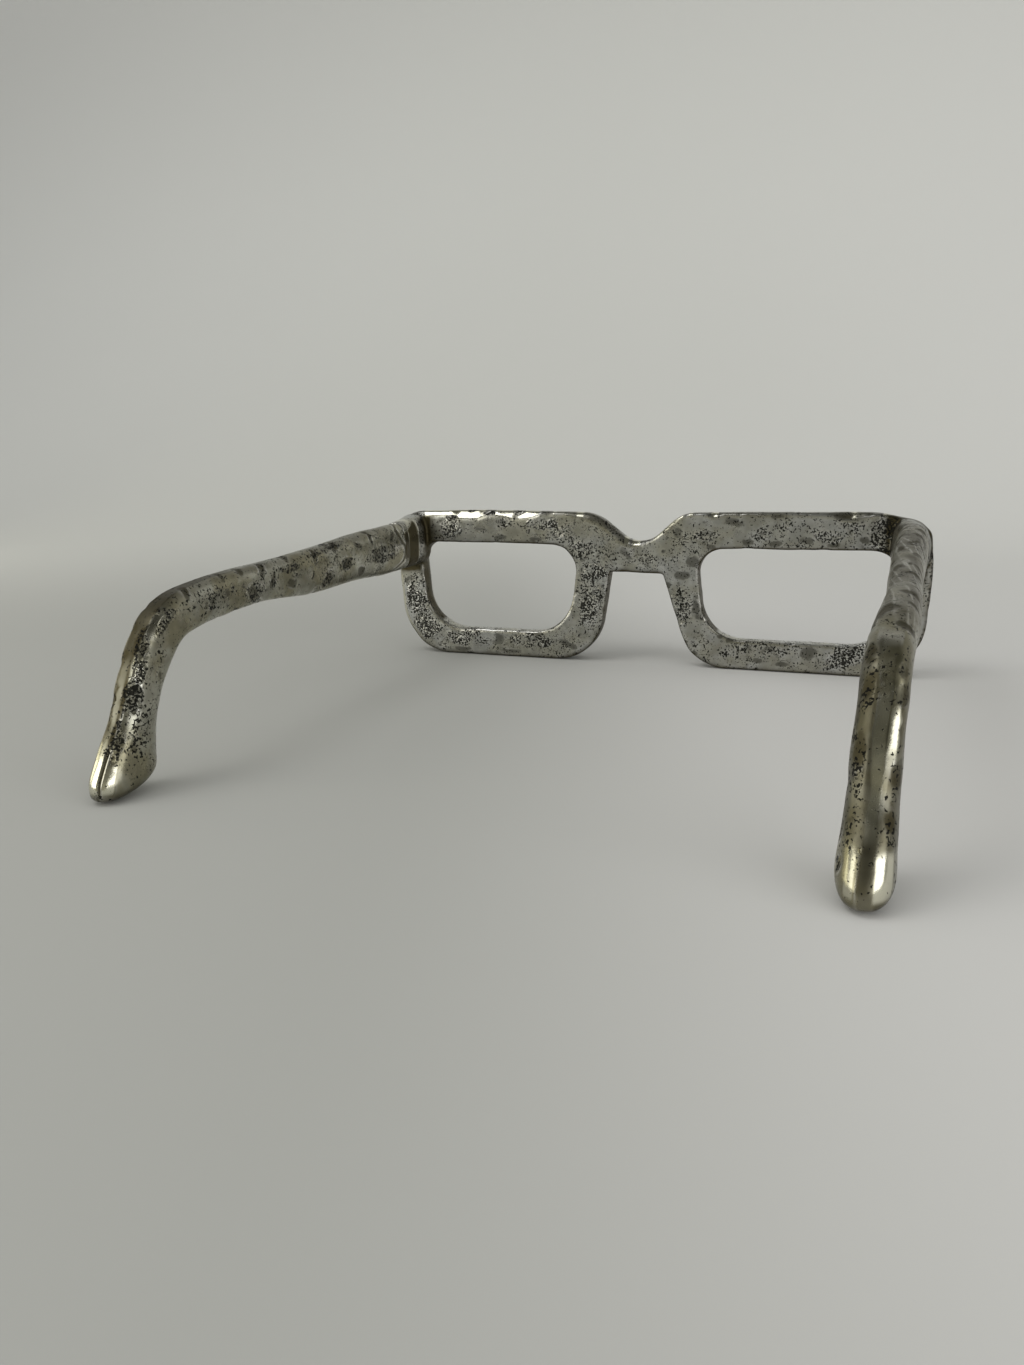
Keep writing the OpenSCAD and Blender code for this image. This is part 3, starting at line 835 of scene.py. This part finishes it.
PAINTED_GLEAM_TONE = (0.8, 0.8, 0.77, 1)
PROUD_TONE = (0.68, 0.67, 0.63, 1)
POLISHED_TONE = (0.8, 0.78, 0.64, 1)
SKIN_AND_SHADE_TONE = (0.071, 0.061, 0.034, 1)
PIT_TONE = (0.022, 0.022, 0.019, 1)


def make_metal(name, pale, dull, dark, rugged, painted_gleam=0.0):
    """Cast metal in three greys. rugged is how uneven its pitted areas are, gleam how much paler the
    metal is made between dense pits, a painted sheen for the glints on the rims of the pits."""
    material, n, shader = new_material(name)
    place = n.place()
    names = ("pits", "stain_and_shade", "relief_and_painted_highlight", "polish", "skin")
    pits, stain_and_shade, relief_and_painted_highlight, polish, skin = (n.attribute(k) for k in names)

    # Casting pits: wormy specks, dense where the surface is marked as pitted
    fine = n.noise(place, 1250.0, 1.0, 0.5, 0.6)
    coarse = n.noise(place, 430.0, 2.0, 0.6, 0.4)
    mid = n.noise(place, 190.0, 2.0, 0.6)
    ragged = n.plus(n.math("MULTIPLY", fine, 0.75), coarse, 0.25)
    limit = n.remap(pits, 0.0, 1.0, 0.33, 0.54, smooth=False)
    limit = n.plus(limit, mid, 0.12, zero=0.5)
    pit = n.remap(n.math("SUBTRACT", limit, ragged), -0.003, 0.009)

    # Hammer marks, which the polishing wheel didn't reach, have a ragged border
    inside = n.plus(stain_and_shade, coarse, 1.2, zero=0.5)
    inside = n.plus(inside, mid, 0.9, zero=0.5)
    mark = n.remap(inside, 0.2, 0.62)

    # Broad tones: grey with a warm cast in places, paler where the metal stands proud and where a
    # highlight is painted, darker where it is pressed in
    cloud = n.noise(place, 60.0, 3.0, 0.6)
    tone = n.mix(n.remap(cloud, 0.38, 0.62), pale, dull)
    tone = n.mix(n.remap(mid, 0.36, 0.64, 0.32, 0.0), tone, dark)
    # Darker inside hammer marks: partly the darker tone of the marked metal, partly a painted dark
    # reflection of their dimples
    tone = n.mix(n.math("MULTIPLY", mark, n.remap(pits, 0.2, 0.8, 0.85, 0.5)), tone, dark)
    # Painted sheen: the metal between dense pits is paler, for the glints on their rims
    if painted_gleam:
        tone = n.mix(n.remap(pits, 0.45, 0.95, 0.0, painted_gleam), tone, PAINTED_GLEAM_TONE)
    tone = n.mix(n.remap(relief_and_painted_highlight, 0.55, 0.95, 0.0, 0.6), tone, PROUD_TONE)
    tone = n.mix(n.remap(relief_and_painted_highlight, 0.42, 0.1, 0.0, 0.5), tone, dark)
    tone = n.mix(n.remap(polish, 0.2, 1.0, 0.0, 0.85), tone, POLISHED_TONE)
    # The dark skin of the casting, and the painted shade that the same dark tone stands for
    tone = n.mix(skin, tone, SKIN_AND_SHADE_TONE)
    tone = n.mix(n.math("MULTIPLY", pit, 0.96), tone, PIT_TONE)
    n.link(tone, shader.inputs["Base Color"])
    shader.inputs["Metallic"].default_value = 1.0

    rough = n.remap(n.noise(place, 160.0, 2.0), 0.3, 0.7, 0.24, 0.34, smooth=False)
    rough = n.plus(rough, mark, 0.1)
    rough = n.plus(rough, n.remap(relief_and_painted_highlight, 0.5, 1.0), -0.08)
    rough = n.plus(rough, polish, -0.13)
    rough = n.plus(rough, skin, 0.15)
    rough = n.plus(rough, pit, 0.25, clamp=True)
    n.link(rough, shader.inputs["Roughness"])

    bumped = n.bump(n.math("MULTIPLY", pit, -1.0), 0.00025, 1.0)
    bumped = n.bump(n.math("MULTIPLY", ragged, n.remap(pits, 0.5, 1.0)), 0.0012, rugged, bumped)
    bumped = n.bump(mid, 0.0004, 0.35, bumped)
    scuffs = n.noise(place, 2600.0, 2.0, 0.6)
    n.link(n.bump(scuffs, 0.00003, 0.6, bumped), shader.inputs["Normal"])
    return material


# The front


def blurred(surface, mask, times):
    """The mask as shares from 0 to 1, with a soft border."""
    mask = mask * 1.0
    for _ in range(times):
        mask = surface.around(mask)[:, 0]
    return mask


def front_marks(front, n, rng):
    """Hammer marks: small random ones on the back beside those placed one by one, and larger
    random ones elsewhere."""
    on_back = (n[:, 1] > 0.25) & (front.points[:, 1] < FRONT_BACK_Y + 0.6)
    large = dict(spacing=9.0, radius=(2.0, 4.0), slim=(0.45, 0.9), depth=(0.1, 0.3))
    small = dict(spacing=6.0, radius=(0.7, 1.5), slim=(0.4, 0.9), depth=(0.02, 0.06))
    marks = scattered_marks(front, n, rng, **large, keep=~on_back)
    marks += scattered_marks(front, n, rng, **small, keep=on_back)
    for x, z, along, across, tilt, pits in BACK_MARKS:
        centre = np.array([x, FRONT_BACK_Y, z])
        way = np.array([cos(radians(tilt)), 0.0, sin(radians(tilt))])
        deep = 0.02 * (along + across)
        marks.append([centre, along, across, way, deep, pits, 1.1 - 0.4 * pits])
    return marks


def back_speckle(front, n, ragged):
    """How pitted the front is apart from its marks, after the list for its back."""
    x, _, z = front.points.T
    speckle = np.where(x > 0, 0.32, 0.28)
    for at_x, at_z, along, up, much in BACK_SPECKLE:
        r = np.sqrt(((x - at_x) / along) ** 2 + ((z - at_z) / up) ** 2) + ragged
        speckle = highest(speckle, np.where(n[:, 1] > 0, much * step(1.3, 0.7, r), 0.0))
    return speckle


Zones = namedtuple("Zones", "wall lug under above crown outer rim brown")


def front_zones(front, n, ragged):
    """Shares from 0 to 1: the walls of the openings, the inner sides of the lugs, what faces
    down, the top, the top of the left lug, the outer ends of the left rim and of the right
    one, and the part round the right lug."""
    x, y, z = front.points.T
    wide, side = np.abs(x), np.sign(x)
    behind_face, on_lug = y > BEHIND_FACE_Y, y > FRONT_BACK_Y + 0.8
    wall = behind_face & (y < FRONT_BACK_Y) & (np.abs(n[:, 1]) < 0.6) & (n[:, 2] < 0.8)
    lug = on_lug & (n[:, 0] * side < -0.5)
    # The band under each lug, where a shadow falls, gets painted shade
    lug_shadow_band = (np.abs(z - 41) < 2.0) & (wide > 105) & (x > -114.5) & (y > FRONT_BACK_Y - 0.5)
    zones = Zones(
        wall=wall & (wide < 107) & (z > 9) & (z < 55),
        lug=lug,
        # What faces down, and the band under each lug, get painted shade
        under=((n[:, 2] < -0.3) & (z < 60) & behind_face) | lug_shadow_band,
        above=(n[:, 2] > 0.35) & (z > 50) & behind_face & (y < FRONT_BACK_Y + 0.8),
        crown=(n[:, 2] > 0.25) & on_lug & (side > 0),
        outer=(n[:, 0] > 0.25) & (x > 104),
        rim=(n[:, 0] < -0.25) & (x < -104) & (z < 60),
        brown=(x < -99) & (z > 42) & (y > FRONT_BACK_Y - 3) & ~lug,
    )
    zones = Zones(*(blurred(front, mask, 2) for mask in zones))
    return zones._replace(outer=zones.outer * within(z + 8 * ragged, 4, 12, 34, 43))


def polished_top(front, above, speckle):
    """The bright lengths along the top, which stop where the back is densely pitted."""
    shown = np.zeros(len(front.points))
    for x, half in TOP_POLISH:
        away = np.abs(front.points[:, 0] - x) + 0.8 * noise(front.points, 2.0, 33)
        shown = highest(shown, step(half + 0.5, half - 0.5, away))
    return shown * above * step(0.95, 0.6, speckle)


Inner = namedtuple("Inner", "skin facet ridge strip pits")


def inner_sides(front, n, lug):
    """The sides of the lugs that face each other. A sharp ridge runs up the left one, with a painted
    highlight along it. Behind it lies a smooth dark facet, whose top slants down to the joint beside
    a paler band that is a painted highlight. Painted shade darkens the corners where the lugs meet
    the back of the front, and the left lug's side near its root."""
    x, y, z = front.points.T
    out, left = y - FRONT_BACK_Y, x > 0
    slant = z - 64.2 + 0.65 * (out - RIDGE_OUT)
    facet = lug * step(RIDGE_OUT - 0.3, RIDGE_OUT + 0.3, out) * step(0.4, -0.4, slant)
    # The corners where the lugs meet the back of the front, which get painted shade
    corner = (np.abs(np.abs(x) - 99.9) < 2.8) & (np.abs(out) < 3) & (z > 43) & (n[:, 2] < 0.5)
    corner = blurred(front, corner, 6)
    # Painted shade on the left lug's side near its root and in the corners
    before = highest(lug * (0.2 + 0.45 * step(6.0, 2.5, out)), 0.75 * corner)
    ridge = peak(out, RIDGE_OUT, 0.6) * lug * left * step(43, 46, z)
    left_pits = 0.8 * lug * within(out, 1.5, 3.5, 7.0, 7.8)
    return Inner(
        skin=np.where(left, facet + before * (1 - facet), highest(0.85 * lug, 0.2 * corner)),
        facet=np.where(left, 0.9 * facet, 0.2 * lug),
        ridge=ridge * (0.3 + 0.7 * step(56, 62, z)),
        strip=peak(slant, 1.3, 0.8) * (out > 3) * left * (n[:, 0] < 0.5),
        pits=np.where(left, left_pits, np.clip(2.2 * corner, 0, 0.95)),
    )


def make_front(sections, rng):
    """The rims, the bridge and both lugs, as one casting."""
    lugs = [loft(lug_rings(side, sections)) for side in (1, -1)]
    front = remeshed([front_blank()] + lugs, FRONT_VOXEL)
    front.smooth(2)
    n = front.normals()
    x, _, z = front.points.T
    marks = front_marks(front, n, rng)
    ragged = 0.25 * noise(front.points, 3.0, 37)
    speckle = back_speckle(front, n, ragged)
    zones = front_zones(front, n, ragged)
    shown = polished_top(front, zones.above, speckle)
    inner = inner_sides(front, n, zones.lug)
    rim_speckle = 0.75 * zones.rim * within(z, 24, 32, 50, 55)
    speckle = highest(speckle, rim_speckle, inner.pits)

    # The dark skin of the casting is left on the walls of the openings, on the inner sides of the
    # lugs, on parts of the top and round the right lug, where it has veins. The same dark tone paints
    # shade under the bars and the lugs, in the corners where the lugs meet the back, and on the
    # unpolished top, where it dims the reflection of the light overhead
    veins = step(0.04, 0.3, np.abs(noise(front.points, 7.0, 35)))
    skin = zones.wall + inner.skin + 0.9 * zones.under + (0.45 - 0.45 * shown) * zones.above
    brown = (0.3 + 0.45 * veins) * zones.brown * (1 - zones.rim)
    skin = skin + highest(brown, (0.55 + 0.2 * veins) * zones.rim)
    skin = np.clip(skin, 0, 1) * (1 - inner.ridge)
    # Painted shade: the back of the right rim is a little darker all over
    skin = highest(skin, 0.14 * step(-12, -40, x) * step(0.5, 0.9, n[:, 1]))
    polish = 0.25 * zones.wall + inner.facet + shown + 0.35 * zones.crown + 0.9 * zones.outer
    polish = np.clip(polish + 0.5 * inner.strip + 0.8 * inner.ridge * step(61, 64, z), 0, 1)

    waves, press = (0.16, 0.1), -0.5 * inner.ridge
    fields = cast_skin(front, marks, FRONT_SEED, waves, speckle, polish, skin, press)
    # Painted highlights along the ridge and along the paler band
    fields["relief_and_painted_highlight"] = highest(fields["relief_and_painted_highlight"], inner.ridge, 0.9 * inner.strip)
    as_object("front_casting", front, fields, CAST, "front_frame")


# The temples and welds


class Temple(Surface):
    """The left temple where side is 1, the right one where it is -1. distance is how far along
    it each point lies, and degrees how far round from the outer side over the top."""

    def __init__(self, side, sections):
        at = sections.at
        first = int(np.searchsorted(at, LUG_LENGTH + SEAM_LENGTH))
        power = TEMPLE_POWER - 0.45 * step(185, 215, at)
        flat = 1 - (0.045 if side > 0 else 0.02) * step(110, 185, at) * step(218, 200, at)
        shrink = 0.15 * step(at[first] + 1.2, at[first], at)
        self.side = side
        self.rings = np.array(temple_rings(side, sections, first, power, flat, shrink))
        super().__init__(*loft(self.rings))
        foot_run = at[-1] + np.arange(1, FOOT_RINGS + 1) * FOOT_RING_RUN
        self.run = np.concatenate([at[first:], foot_run])
        self.distance = np.append(np.repeat(self.run, ROUND), [self.run[0], self.run[-1]])
        self.degrees = degrees_round(side, self.rings)
        self.smooth(40, 0.5, step(203, 212, self.distance)[:, None])

    def spot(self, distance, degrees):
        """The point at a distance and a turn, and the directions along and round there."""
        k = int(np.clip(np.searchsorted(self.run, distance), 3, len(self.run) - 20))
        i = int(np.argmin(np.abs(turned_from(self.degrees[:ROUND], degrees))))
        j = 3 * self.side
        ring_here = self.rings[k]
        along = unit(self.rings[k + 3, i] - self.rings[k - 3, i])
        return ring_here[i], along, unit(ring_here[(i + j) % ROUND] - ring_here[(i - j) % ROUND])


def temple_marks(temple, rows, rng):
    """Hammer marks: large random ones out of the photograph's sight, and small ones beside
    the listed ones elsewhere, but not on the smooth inner side."""
    degrees, n = temple.degrees, temple.normals()
    seen = (degrees > 60) & (degrees < 240) if temple.side > 0 else (degrees < 150)
    rugged = seen & ~((degrees > 186) & (temple.distance < 170))
    large = dict(spacing=8.0, radius=(1.8, 3.8), slim=(0.45, 0.9), depth=(0.12, 0.35))
    small = dict(spacing=6.5, radius=(0.8, 1.8), slim=(0.35, 0.8), depth=(0.02, 0.07))
    marks = scattered_marks(temple, n, rng, **large, keep=~seen)
    marks += scattered_marks(temple, n, rng, **small, keep=rugged)
    for distance, turn, long, wide, tilt, pits in rows:
        centre, along, around = temple.spot(distance, turn)
        way = along * cos(radians(tilt)) + around * sin(radians(tilt))
        deep = 0.03 * (long + wide)
        marks.append([centre, long, wide, way, deep, pits, 1.25 - 0.5 * pits])
    return marks


def temple_speckle(temple, rows):
    """How pitted a temple is apart from its marks."""
    speckle = np.full(len(temple.points), 0.24)
    for distance, turn, long, wide, much in rows:
        along = (temple.distance - distance) / long
        r = np.sqrt(along**2 + (turned_from(temple.degrees, turn) / wide) ** 2)
        speckle = highest(speckle, much * step(1.4, 0.5, r))
    return speckle


# The joint on the left is a curved groove a little behind the weld: degrees round the temple
# and distance
JOINT_CURVE = [
    (80, 21), (96, 22.5), (134, 25), (158, 23.5), (170, 21.5), (180, 19), (198, 20),
    (210, 22.5), (220, 25.5), (240, 30),
]
# Painted highlights on the left ear piece: distance, degrees round, and how far they reach along it
LEFT_PAINTED_GLINTS = [(196.5, 123, 3.0), (210, 104, 8.0)]
# Dark skin on the right ear piece, partly painted shade that dims what it mirrors: how much, the
# degrees where it starts and where it is full, how ragged that border is, and the distances where it
# starts and is full
RIGHT_SKIN_AND_SHADE = [
    (0.55, 92, 102, 0.6, 170, 180), (0.4, 52, 44, 0.0, 172, 182),
    (0.3, 82, 74, 0.0, 199, 205), (0.6, 74, 68, 1.0, 200, 206),
]


def left_finish(temple, ragged, rough_edge, clear, seed):
    """Polish, dark skin with painted shade, added depth and painted highlights of the left temple."""
    distance, degrees = temple.distance, temple.degrees
    # Two polished ovals at the tip with a crease between them, darkened as painted shade, and a tan
    # strip before them
    tip = step(213, 219, distance + 0.4 * ragged) * clear
    tan = step(190, 200, distance) * step(72, 78, rough_edge) * step(94, 89, degrees)
    oval = tip * within(degrees, 56, 64, 96, 100)
    second = step(218, 222, distance) * within(degrees, 105, 109, 131, 137) * clear
    shaded_crease = peak(degrees, 102, 3.2) * step(214, 218, distance) * clear
    polish = highest(0.15 * tan, oval, second)
    # The band along the back of the ear piece is smooth and dark, and the foot is darkened as painted
    # shade near the floor
    border = degrees + ragged - 10 * step(190, 183, distance)
    bare = step(125, 160, distance) * step(50, 58, degrees) * step(107, 97, border)
    bare = bare * (0.92 - 0.35 * tan) * (1 - tip)
    bare = highest(bare, 0.5 * step(4.5, 2.5, temple.points[:, 2]))
    # The groove of the joint, and the end of the lug's dark facet before it
    away = distance - np.interp(degrees, *np.transpose(JOINT_CURVE))
    away = away + 0.6 * noise(temple.points, 4.0, seed + 7)
    groove = 0.28 * peak(away, 0.0, 1.1) * within(degrees, 75, 95, 225, 245)
    facet = step(19.4, 18.6, distance) * within(degrees, 140, 155, 200, 215)
    # A thin brown skin on the top and the outer side
    brown = within(distance, 24, 34, 170, 182) * step(148, 132, degrees + ragged)
    brown = brown * (0.3 + 0.12 * noise(temple.points, 9.0, seed + 5))
    skin = highest(facet, 2.2 * groove, brown, shaded_crease, bare)
    # Painted highlights at the listed spots
    painted_glint = 0.0
    for at, turn, reach in LEFT_PAINTED_GLINTS:
        away = ((distance - at) / reach) ** 2 + ((degrees - turn) / 8.0) ** 2
        painted_glint = highest(painted_glint, np.exp(-away))
    return polish, skin, groove + 0.5 * shaded_crease, painted_glint


def right_finish(temple, ragged, rough_edge, clear, seed):
    """Polish, dark skin with painted shade, added depth and painted highlight of the right temple."""
    distance, degrees = temple.distance, temple.degrees
    # A polished band along the back of the ear piece, a bright edge and a patch beside it, and
    # two ovals at the tip
    band = step(178, 193, distance) * step(14, 8, np.abs(degrees + 0.6 * ragged - 88))
    edge = (0.6 - 0.55 * step(197, 204, distance)) * step(190, 196, distance)
    edge = edge * step(60, 66, rough_edge)
    patch = 0.8 * within(distance, 189, 193, 198, 202) * step(42, 50, rough_edge)
    edge = highest(edge, patch) * step(80, 73, degrees)
    tip = step(216.5, 220, distance + 0.3 * ragged) * clear
    ovals = highest(0.6 * within(degrees, 104, 109, 126, 132), within(degrees, 27, 36, 72, 78))
    polish = highest(0.6 * band, edge, tip * ovals)
    # Brown skin is left all along, with pale streaks on the top
    round_way = np.radians(degrees) * 8
    flow = np.stack([distance / 26, (round_way + 0.2 * distance) / 3.0, 0 * distance], axis=1)
    veins = step(0.0, 0.5, np.abs(noise(flow, 1.0, seed + 7)))
    fade = step(177, 160, distance)
    upper = within(degrees + ragged, 15, 50, 130, 165)
    plain = 0.42 + 0.2 * noise(temple.points, 9.0, seed + 5)
    skin = (plain + (0.1 + 0.26 * veins) * upper) * fade
    skin = highest(skin, 0.7 * band * step(210, 219, distance))
    # Dark skin, partly painted shade over the ear piece's reflections
    for much, start, full, wild, near, far in RIGHT_SKIN_AND_SHADE:
        zone = much * step(start, full, degrees + wild * ragged) * step(near, far, distance)
        skin = highest(skin, zone * (1 - tip))
    # Painted shade on the foot, near the floor
    skin = highest(skin, 0.4 * step(4.0, 2.0, temple.points[:, 2]))
    # A painted highlight round the top before the ear piece
    painted_glint = 0.85 * peak(distance, 174, 6) * within(degrees, 50, 70, 110, 130)
    return polish, skin, 0.1 * (veins - 1) * fade * upper, painted_glint


def make_temple(side, name, sections, rng, seed):
    """A temple from the weld to its tip."""
    temple = Temple(side, sections)
    if side > 0:
        listed, pitted, finish = LEFT_MARKS, LEFT_SPECKLE, left_finish
    else:
        listed, pitted, finish = RIGHT_MARKS, RIGHT_SPECKLE, right_finish
    marks = temple_marks(temple, listed, rng)
    speckle = temple_speckle(temple, pitted)
    # Borders of the finish: a coarse and a fine raggedness, and its end above the foot
    ragged = 5 * noise(temple.points, 5.0, seed + 8)
    rough_edge = temple.degrees + 7 * noise(temple.points, 2.2, seed + 6)
    clear = step(2.0, 4.5, temple.points[:, 2])
    polish, skin, groove, painted_glint = finish(temple, ragged, rough_edge, clear, seed)
    # The waves are longer along the temple than round it, and lower at the tip
    calm = 1 - 0.6 * step(196, 206, temple.distance)
    waves, stretch = (0.34 * calm, 0.2 * calm), np.array([1.0, 0.45, 1.0])
    fields = cast_skin(temple, marks, seed, waves, speckle, polish, skin, groove, stretch)
    # Painted highlights make the metal paler and smoother there
    fields["relief_and_painted_highlight"] = highest(fields["relief_and_painted_highlight"], painted_glint)
    temple.points[:, 2] = highest(temple.points[:, 2], 0.0)
    as_object(name + "_temple_casting", temple, fields, AGED, name + "_temple")


def make_weld(side, name, sections, seed):
    """The weld at the bottom of a joint's groove. The left one has the dark skin of the lug's
    facet on its inner side."""
    rings = weld_rings(side, sections)
    weld = Surface(*loft(rings))
    skin = 0.4
    if side > 0:
        skin = within(degrees_round(side, rings), 140, 155, 200, 215)
    waves, speckle, polish = (0.03, 0.03), 0.25, 0.9 * (skin > 0.5)
    fields = cast_skin(weld, [], seed + 9, waves, speckle, polish, skin)
    as_object(name + "_weld_bead", weld, fields, WELD, name + "_weld")


# The scene


make_camera()
make_stage()
make_light()

CAST = make_metal(
    "cast_metal",
    pale=(0.6, 0.605, 0.59, 1),
    dull=(0.46, 0.45, 0.385, 1),
    dark=(0.14, 0.14, 0.125, 1),
    rugged=0.3,
    painted_gleam=0.55,
)
AGED = make_metal(
    "cast_metal_aged",
    pale=(0.44, 0.435, 0.37, 1),
    dull=(0.31, 0.29, 0.2, 1),
    dark=(0.1, 0.095, 0.07, 1),
    rugged=1.0,
)
WELD = make_metal(
    "weld_metal",
    pale=(0.34, 0.335, 0.29, 1),
    dull=(0.25, 0.235, 0.18, 1),
    dark=(0.09, 0.09, 0.075, 1),
    rugged=0.3,
)

rng = np.random.default_rng(MARKS_SEED)
sections = side_sections(TEMPLE_RING_GAP)
make_front(sections, rng)
for side, name, seed in SIDES:
    make_temple(side, name, sections, rng, seed)
    make_weld(side, name, sections, seed)
